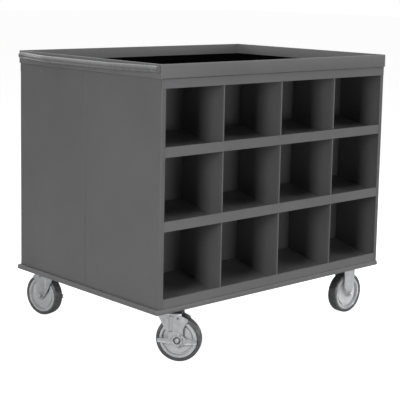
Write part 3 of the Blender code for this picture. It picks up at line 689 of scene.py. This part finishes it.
fork = {"sheet": 0.003, "halfWidth": 0.0205, "bend": 0.008, "bendSegments": 8, "footSteps": 16, "room": 0.006,
        "axleHole": 0.005, "edge": 0.0005, "edgeAngle": 40}
swivelFork = {"crown": 0.1405, "trail": 0.037, "foot": 0.0145, "footTurns": (200, 350), "topRoom": 0.004,
              "lead": 1.01, "knee": (0.40, 1.13), "hole": 0.003, "holeHeight": 0.1235, "kingpinHole": 0.00625,
              "kingpinDrill": 0.02,
              "hornShares": [(0.24, 0.32), (0.24, 0.47), (0.32, 0.66), (0.47, 0.84), (0.43, 0.95), (0.17, 1.06)]}
rib = {"offset": 0.0195, "width": 0.015, "depth": 0.0022, "sunk": 0.001, "low": 0.0840, "high": 0.1315,
       "shares": (0.42, 1, 0.84), "bend": 0.0018, "bendSegments": 4}
rigidFork = {"half": 0.024, "taperStart": 1.45, "top": 0.17, "rise": 0.001, "foot": 0.0125, "footTurns": (190, 350)}
# the profiles are points of (radius, height), and each is spun in so many steps
forkRace = {"steps": 64, "profile": [(0.0064, 0), (0.0220, 0), (0.0220, 0.0060), (0.0204, 0.0086), (0.0180, 0.0110),
                                     (0.0064, 0.0110)]}
swivelHead = {"cupOverCrown": 0.0115, "pinGap": 0.0003, "steps": 64,
              "pin": [(0, -0.0035), (0.0074, -0.0035), (0.009, -0.0022), (0.009, 0), (0.006, 0)],
              "cup": [(0.006, 0), (0.0248, 0), (0.0250, -0.0003)],
              "bead": [(0.0250, -0.0065), (0.0268, -0.0065), (0.0288, -0.0050), (0.0290, -0.0022),
                       (0.0280, -0.0012), (0.0290, 0), (0, 0)]}


def makeSwivelHead(name):
    # race cup and kingpin, hung from the plate in one turned profile, with a pressed bead round the cup
    ceiling = swivelFork["crown"] + swivelHead["cupOverCrown"]
    underCrown = swivelFork["crown"] - fork["sheet"] - swivelHead["pinGap"]
    profile = raised(swivelHead["pin"], underCrown) + raised(swivelHead["cup"], ceiling)
    profile += raised(swivelHead["bead"], caster["plateBottom"])
    return turnProfile(name, profile, "Z", swivelHead["steps"])


def makeForkRace(name):
    # the fork's own race: a dished ring that stands on the crown
    return turnProfile(name, raised(forkRace["profile"], swivelFork["crown"]), "Z", forkRace["steps"])


def cutHole(piece, radius, centre, low, high):
    deselect()
    bpy.ops.mesh.primitive_cylinder_add(vertices=holeSides, radius=radius, depth=high - low,
                                        location=(centre[0], (low + high) / 2, centre[1]),
                                        rotation=(math.pi / 2, 0, 0))
    boolean(piece, takeNew("cutter"), "DIFFERENCE")


def makeFork(name, crown, reach, legOutline):
    # an upturned U of sheet, with its legs cut to the outline
    half = fork["halfWidth"]
    path = [(0, -half, 0), (0, -half, crown), (0, half, crown), (0, half, 0)]
    piece = bendSheet(name, path, (-reach, reach), (1, 0, 0), (0, 0, 1), fork["sheet"], fork["bend"],
                      fork["bendSegments"])
    room = half + fork["room"]
    boolean(piece, outlinePlate("legShape", legOutline, "Y", -room, room), "INTERSECT")
    return piece


def addRib(piece, side):
    # a pressed rib on the outer face of one leg, drawn as a block with sloped walls
    x = swivelFork["trail"] - rib["offset"]
    face = side * fork["halfWidth"]
    outer = face + side * rib["depth"]
    inner, outerLevel = sorted((face - side * rib["sunk"], outer))
    ridge = block("rib", Vector((x - rib["width"] / 2, inner, rib["low"])),
                  Vector((x + rib["width"] / 2, outerLevel, rib["high"])))
    bpy.ops.object.mode_set(mode="EDIT")
    choose("FACE", lambda f: meets(f.calc_center_median().y, outer))
    bpy.ops.transform.resize(value=rib["shares"], center_override=(x, outer, (rib["low"] + rib["high"]) / 2))
    choose("EDGE", lambda e: meets(middle(e).y, outer))
    bpy.ops.mesh.bevel(offset=rib["bend"], segments=rib["bendSegments"], affect="EDGES")
    bpy.ops.object.mode_set(mode="OBJECT")
    boolean(piece, ridge, "UNION")


def makeSwivelFork(name):
    # slanted front edge, round foot and trailing horn, with a rib pressed out of each leg
    axle, crown = swivelFork["trail"], swivelFork["crown"]
    top = crown + swivelFork["topRoom"]
    knee = swivelFork["knee"]
    outline = [(axle - swivelFork["lead"] * wheelRadius, top), (axle - knee[0] * wheelRadius, knee[1] * wheelRadius)]
    outline += arc((axle, wheelRadius), swivelFork["foot"], *swivelFork["footTurns"], fork["footSteps"])
    outline += [(axle + u * wheelRadius, wheelRadius * (1 + v)) for u, v in swivelFork["hornShares"]]
    outline.append((outline[-1][0], top))
    piece = makeFork(name, crown, 2 * wheelRadius, outline)
    for side in (-1, 1):
        addRib(piece, side)
    room = fork["halfWidth"] + fork["room"]
    cutHole(piece, fork["axleHole"], (axle, wheelRadius), -room, room)
    cutHole(piece, swivelFork["hole"], (axle, swivelFork["holeHeight"]), -room, room)
    deselect()
    bpy.ops.mesh.primitive_cylinder_add(vertices=holeSides, radius=swivelFork["kingpinHole"],
                                        depth=swivelFork["kingpinDrill"], location=(0, 0, crown))
    boolean(piece, takeNew("kingpinHole"), "DIFFERENCE")
    softEdges(piece, fork["edge"], angle=fork["edgeAngle"])
    return piece


def makeRigidFork(name):
    # straight legs that taper to a round foot, pressed in one piece with the plate above
    half, shoulder, top = rigidFork["half"], rigidFork["taperStart"] * wheelRadius, rigidFork["top"]
    outline = [(half, shoulder), (half, top), (-half, top), (-half, shoulder)]
    outline += arc((0, wheelRadius), rigidFork["foot"], *rigidFork["footTurns"], fork["footSteps"])
    piece = makeFork(name, caster["plateBottom"] + rigidFork["rise"], wheelRadius, outline)
    room = fork["halfWidth"] + fork["room"]
    cutHole(piece, fork["axleHole"], (0, wheelRadius), -room, room)
    softEdges(piece, fork["edge"], angle=fork["edgeAngle"])
    return piece


# half profiles, as points of (radius, distance from the middle plane)
wheelCentre = {"steps": 96, "half": [
    (0.005, 0.0172), (0.0105, 0.0172), (0.0118, 0.0160), (0.0125, 0.0110), (0.0150, 0.0092), (0.0200, 0.0086),
    (0.0310, 0.0086), (0.0370, 0.0091), (0.0392, 0.0088), (0.0400, 0.0046), (0.0408, 0.0038), (0.0446, 0.0038),
    (0.0453, 0.0046), (0.0458, 0.0128), (0.0466, 0.0142), (0.0484, 0.0145), (0.0512, 0.0143), (0.0528, 0.0135),
    (0.0532, 0.0125)]}
tyre = {"steps": 128, "half": [
    (0.0535, 0.0133), (0.0546, 0.0152), (0.0556, 0.0160), (0.0588, 0.0160), (0.0602, 0.0156), (0.0617, 0.0145),
    (0.0627, 0.0128), (0.0632, 0.0105), (0.0634, 0.0060), (wheelRadius, 0)]}


def makeWheelCentre(name):
    # moulded wheel centre: long hub, dished web, deep groove and a light rim ring
    return turnProfile(name, mirrored(wheelCentre["half"]), "Y", wheelCentre["steps"])


def makeTyre(name):
    # moulded tyre: flat seat on the rim, square walls with a step, rounded shoulders and a slight crown
    return turnProfile(name, mirrored(tyre["half"]), "Y", tyre["steps"])


lever = {"sheet": 0.0025, "lead": 0.057, "trail": 0.0545, "arm": 0.010, "drop": 0.003, "neck": 0.018,
         "neckReach": 0.022, "cornerRound": 0.0018, "cornerSteps": 3, "flange": 0.0038, "flangeStart": 0.0195,
         "flangeInset": 0.0001, "tipGap": 0.0004, "wall": 0.0020, "hubTop": 0.0165, "hubBottom": 0.016,
         "hubHalf": 0.0115, "tabHalf": 0.004, "tabLow": 0.0205, "tabLip": 0.0026, "tabLipHeight": 0.0018,
         "star": 0.0160, "lobes": 8, "lobeShare": 0.13, "starSteps": 96, "starHeight": 0.0048, "starTaper": 0.9,
         "well": 0.0104, "wellDepth": 0.006, "bore": 0.0050, "spare": 0.001, "edge": 0.0005, "edgeSegments": 3,
         "edgeAngle": 35}
axleBolt = {"gap": 0.0003, "headRadius": 0.0082, "headDepth": 0.006, "nutDepth": 0.004, "nutOnLever": 0.0072,
            "nutOnLeg": 0.0082, "chamfer": 0.0009, "edge": 0.0004, "shankSteps": 32, "collarSteps": 48,
            "threadEnd": [(0, -0.0085), (0.0038, -0.0085), (0.00475, -0.0075)],
            "headEnd": [(0.00475, 0.001), (0, 0.001)],
            "collar": [(0.0048, -0.0035), (0.0066, -0.0035), (0.0066, -0.0056), (0.0060, -0.0064),
                       (0.0048, -0.0064)]}
# a dark ring in the well of the lever, standing in for the shade there (painted shade)
wellShadeRing = {"gap": 0.0001, "steps": 64,
            "profile": [(0.0074, 0), (0.0101, 0), (0.0101, -0.0012), (0.0097, -0.0016), (0.0078, -0.0016),
                        (0.0074, -0.0012)]}
legSide = fork["halfWidth"] + axleBolt["gap"]  # where the lever, or a plain nut or head, lies on the leg
leverSide = legSide + lever["sheet"]


def makeAxle(name, nutSide, nutRadius):
    # axle bolt with a hexagon head on the left, and a lock nut on the right past what the leg carries
    shank = raised(axleBolt["threadEnd"], nutSide) + raised(axleBolt["headEnd"], legSide)
    headDepth, nutDepth = axleBolt["headDepth"], axleBolt["nutDepth"]
    return joinPieces(name, [
        turnProfile("shank", shank, "Y", axleBolt["shankSteps"]),
        turnProfile("collar", raised(axleBolt["collar"], nutSide), "Y", axleBolt["collarSteps"]),
        makeHexagon(axleBolt["headRadius"], headDepth, (0, legSide + headDepth / 2, 0), (0, 1, 0), axleBolt),
        makeHexagon(nutRadius, nutDepth, (0, nutSide - nutDepth / 2, 0), (0, -1, 0), axleBolt)])


def leverEdge(x, side):
    # height of the upper or lower edge, from the neck out to the tip
    reach = lever["lead"] if x < 0 else lever["trail"]
    share = max(0, (abs(x) - lever["neckReach"]) / (reach - lever["neckReach"]))
    return side * (lever["neck"] + (lever["arm"] - lever["neck"]) * share) / 2 - lever["drop"]


def makeLever(name):
    # pressed brake lever: two channel arms, a star round the well of the nut, and a small folded tab
    inner, outer = -legSide, -leverSide
    middleY = (inner + outer) / 2
    places = [-lever["lead"], -lever["neckReach"], lever["neckReach"], lever["trail"]]
    lower = [(x, leverEdge(x, -1)) for x in places]
    upper = [(x, leverEdge(x, 1)) for x in places[::-1]]
    tab, tabLow, hub, bottom = lever["tabHalf"], lever["tabLow"], lever["hubHalf"], lever["hubBottom"]
    outline = lower[:2] + [(-hub, -bottom), (-tab, -bottom), (-tab, -tabLow), (tab, -tabLow), (tab, -bottom),
                           (hub, -bottom)] + lower[2:]
    outline += upper[:2] + [(hub, lever["hubTop"]), (-hub, lever["hubTop"])] + upper[2:]
    piece = outlinePlate(name, roundCorners(outline, lever["cornerRound"], lever["cornerSteps"]), "Y", outer, inner)

    for tip, way in ((-lever["lead"] + lever["tipGap"], -1), (lever["trail"] - lever["tipGap"], 1)):
        for side in (-1, 1):
            edges = [(x, leverEdge(x, side) - side * lever["flangeInset"])
                     for x in (way * lever["flangeStart"], way * lever["neckReach"], tip)]
            walls = edges + [(x, z - side * lever["wall"]) for x, z in edges[::-1]]
            boolean(piece, outlinePlate("flange", walls, "Y", outer - lever["flange"], middleY), "UNION")

    turns = [2 * math.pi * step / lever["starSteps"] for step in range(lever["starSteps"])]
    radii = [lever["star"] * (1 - lever["lobeShare"] * math.cos(lever["lobes"] * turn)) for turn in turns]
    face = outer - lever["starHeight"]
    star = outlinePlate("star", [(r * math.cos(turn), r * math.sin(turn)) for r, turn in zip(radii, turns)], "Y",
                        face, middleY)
    bpy.ops.object.mode_set(mode="EDIT")
    choose("FACE", lambda f: meets(f.calc_center_median().y, face))
    bpy.ops.transform.resize(value=(lever["starTaper"], 1, lever["starTaper"]), center_override=(0, face, 0))
    bpy.ops.object.mode_set(mode="OBJECT")
    boolean(piece, star, "UNION")

    tabTop = lever["tabLipHeight"] - tabLow
    tabLip = outlinePlate("tabLip", [(-tab, -tabLow), (tab, -tabLow), (tab, tabTop), (-tab, tabTop)], "Y",
                          outer - lever["tabLip"], middleY)
    boolean(piece, tabLip, "UNION")
    cutHole(piece, lever["well"], (0, 0), outer - lever["wellDepth"], outer)
    cutHole(piece, lever["bore"], (0, 0), outer - lever["spare"], inner + lever["spare"])
    softEdges(piece, lever["edge"], lever["edgeSegments"], lever["edgeAngle"])
    return piece


def makeWellShadeRing(name):
    # a dark rubber ring round the nut, in the well of the lever: a dark piece put there as painted shade for the
    # shadow in the well
    return turnProfile(name, raised(wellShadeRing["profile"], -leverSide - wellShadeRing["gap"]), "Y", wellShadeRing["steps"])


templates = {
    "swivelFork": makeSwivelFork("swivelForkTemplate"),
    "forkRace": makeForkRace("forkRaceTemplate"),
    "swivelHead": makeSwivelHead("swivelHeadTemplate"),
    "plate": makePlate("plateTemplate"),
    "rigidFork": makeRigidFork("rigidForkTemplate"),
    "plateBolts": makeBolts("plateBoltsTemplate"),
    "wheelCentre": makeWheelCentre("wheelCentreTemplate"),
    "tyre": makeTyre("tyreTemplate"),
    "lever": makeLever("leverTemplate"),
    "wellShadeRing": makeWellShadeRing("wellShadeRingTemplate"),
    "brakeAxle": makeAxle("brakeAxleTemplate", -leverSide - axleBolt["gap"], axleBolt["nutOnLever"]),
    "plainAxle": makeAxle("plainAxleTemplate", -legSide, axleBolt["nutOnLeg"]),
}
print("caster pieces modelled")


def jointsOf(kind):
    # the joints of one kind, by the caster that each belongs to
    return {joint["name"].removeprefix(kind): joint for joint in frame["joints"] if joint["name"].startswith(kind)}


def fit(template, name, place, turn, slotName, body, *nodes):
    dress(placeCopy(templates[template], name, place, turn), slotName, body, *nodes)


axles, kingpins = jointsOf("wheel_roll_"), jointsOf("swivel_turn_")
for word, joint in axles.items():
    swivels = word in kingpins
    carrier = f"swivel_{word}" if swivels else "cart"
    axle = Vector(joint["pos_m"])
    turn = math.atan2(-joint["axis"][0], joint["axis"][1])
    pivot = Vector(kingpins[word]["pos_m"] if swivels else joint["pos_m"])
    pivot.z = 0
    fit("wheelCentre", f"wheelCentre_{word}", axle, turn, "wheel_core", f"wheel_{word}", f"wheel_core_{word}")
    fit("tyre", f"tyreRing_{word}", axle, turn, "tyre", f"wheel_{word}", f"tyre_{word}")
    fit("brakeAxle" if swivels else "plainAxle", f"axleBolt_{word}", axle, turn, "bolt_steel", carrier,
        f"axle_bolt_{word}")
    if swivels:
        brake = f"brake_{word}"
        fit("swivelFork", f"swivelFork_{word}", pivot, turn, "zinc_plate", carrier, f"swivel_fork_{word}")
        fit("forkRace", f"forkRace_{word}", pivot, turn, "zinc_plate", carrier)
        fit("lever", f"brakeLeverPlate_{word}", axle, turn, "zinc_plate", brake, f"brake_lever_{word}")
        # painted shade: the dark ring in the lever's well
        fit("wellShadeRing", f"wellShadeRing_{word}", axle, turn, "tyre", brake)
        fit("plate", f"swivelPlate_{word}", pivot, 0, "zinc_plate", "cart", f"swivel_plate_{word}")
        fit("swivelHead", f"swivelHead_{word}", pivot, 0, "zinc_plate", "cart")
    else:
        fit("rigidFork", f"rigidFork_{word}", pivot, 0, "zinc_plate", "cart", f"rigid_fork_{word}")
        fit("plate", f"rigidPlate_{word}", pivot, 0, "zinc_plate", "cart")
    fit("plateBolts", f"plateBolts_{word}", pivot, 0, "bolt_steel", "cart")
for template in templates.values():
    bpy.data.objects.remove(template)
print("casters placed")

studio = {"floorSize": 60.0, "floorColour": "#c0c0c0", "floorRoughness": 0.9, "floorGlow": 0.97, "floorShine": 0.12,
          "skyLight": 0.01, "skyShine": 1.0}
lamps = [  # name, place, aim, width, height, power, spread in degrees, whether it shows as a highlight
    ("leftSoftbox", (-2.60, -1.12, 0.95), (-0.2, -0.33, 0.45), 0.62, 0.9, 30, 180, True),
    ("rightSoftbox", (2.25, -2.25, 1.10), (-0.1, -0.33, 0.45), 0.9, 0.6, 14, 180, False),
    ("frontSoftbox", (0.35, -3.00, 0.20), (0.1, -0.33, 0.45), 0.7, 0.5, 13, 180, True),
    ("lowFrontStrip", (1.20, -1.55, 0.05), (0.36, -0.30, -0.02), 0.4, 0.05, 0.12, 14, True),
    ("overheadSoftbox", (-0.2, -0.9, 3.3), (0.0, 0.0, 0.8), 1.6, 1.6, 46, 180, True),
    ("ceilingSoftbox", (-0.1, 0.1, 3.2), (-0.1, 0.1, 0.8), 1.2, 1.2, 34, 180, True),
    ("rightEndSoftbox", (3.2, -0.5, 1.1), (0.3, 0.0, 0.45), 1.0, 0.8, 40, 180, False),
    ("rearSoftbox", (-0.6, 3.0, 1.4), (0.0, 0.3, 0.45), 1.4, 1.0, 55, 180, False),
]
shot = {"fromCabinet": (-2.4017, -2.5934, 1.036), "turn": (82.2286, -1.0899, -42.4413), "sensor": 36,
        "lens": 103.59, "shift": -0.15}

deselect()
bpy.ops.mesh.primitive_plane_add(size=studio["floorSize"], location=(0, 0, 0))
floor = bpy.context.object
floor.name = "studioFloor"
floorPaper = bpy.data.materials.new("paleStudioFloor")  # seamless paper: white to the eye, it keeps the soft shadow
floorPaper.use_nodes = True
paper = floorPaper.node_tree
paperShader = paper.nodes["Principled BSDF"]
paperShader.inputs["Base Color"].default_value = tone(studio["floorColour"])
paperShader.inputs["Roughness"].default_value = studio["floorRoughness"]
paperShader.inputs["Specular IOR Level"].default_value = 0.0
paperShader.inputs["Emission Color"].default_value = tone("#ffffff")
seen = addNode(paper, "ShaderNodeLightPath", {})
reflected = addNode(paper, "ShaderNodeMath", {"operation": "MULTIPLY", 1: studio["floorShine"]},
                    {0: (seen, "Is Glossy Ray")})
glow = addNode(paper, "ShaderNodeMath", {"operation": "MULTIPLY_ADD", 1: studio["floorGlow"]},
               {0: (seen, "Is Camera Ray"), 2: (reflected, 0)})
paper.links.new(glow.outputs[0], paperShader.inputs["Emission Strength"])
floor.data.materials.append(floorPaper)

world = bpy.data.worlds.new("studioSky")
bpy.context.scene.world = world
world.use_nodes = True
sky = world.node_tree
background = sky.nodes["Background"]
background.inputs["Color"].default_value = tone("#ffffff")
seen = addNode(sky, "ShaderNodeLightPath", {})
shine = addNode(sky, "ShaderNodeMath", {"operation": "MAXIMUM"},
                {0: (seen, "Is Glossy Ray"), 1: (seen, "Is Transmission Ray")})
shineLevel = addNode(sky, "ShaderNodeMapRange", {"To Min": studio["skyLight"], "To Max": studio["skyShine"]},
                     {"Value": (shine, 0)})
level = addNode(sky, "ShaderNodeMath", {"operation": "MAXIMUM"},
                {0: (seen, "Is Camera Ray"), 1: (shineLevel, "Result")})
sky.links.new(level.outputs[0], background.inputs["Strength"])

for name, place, aim, width, height, power, spread, shows in lamps:
    lampData = bpy.data.lights.new(name, "AREA")
    lampData.shape = "RECTANGLE"
    lampData.size, lampData.size_y = width, height
    lampData.energy = power
    lampData.spread = math.radians(spread)
    lamp = bpy.data.objects.new(name, lampData)
    bpy.context.scene.collection.objects.link(lamp)
    lamp.location = place
    lamp.visible_camera = False
    lamp.visible_glossy = shows
    lamp.rotation_euler = (Vector(aim) - Vector(place)).to_track_quat("-Z", "Y").to_euler()

cameraData = bpy.data.cameras.new("photoCamera")
camera = bpy.data.objects.new("photoCamera", cameraData)
bpy.context.scene.collection.objects.link(camera)
camera.location = cartCentre + Vector(shot["fromCabinet"])
camera.rotation_euler = [math.radians(angle) for angle in shot["turn"]]
cameraData.sensor_width = shot["sensor"]
cameraData.lens = shot["lens"]
cameraData.shift_y = shot["shift"]
bpy.context.scene.camera = camera
bpy.context.scene.view_settings.view_transform = "Standard"
print("stage, light and camera set")

deselect()
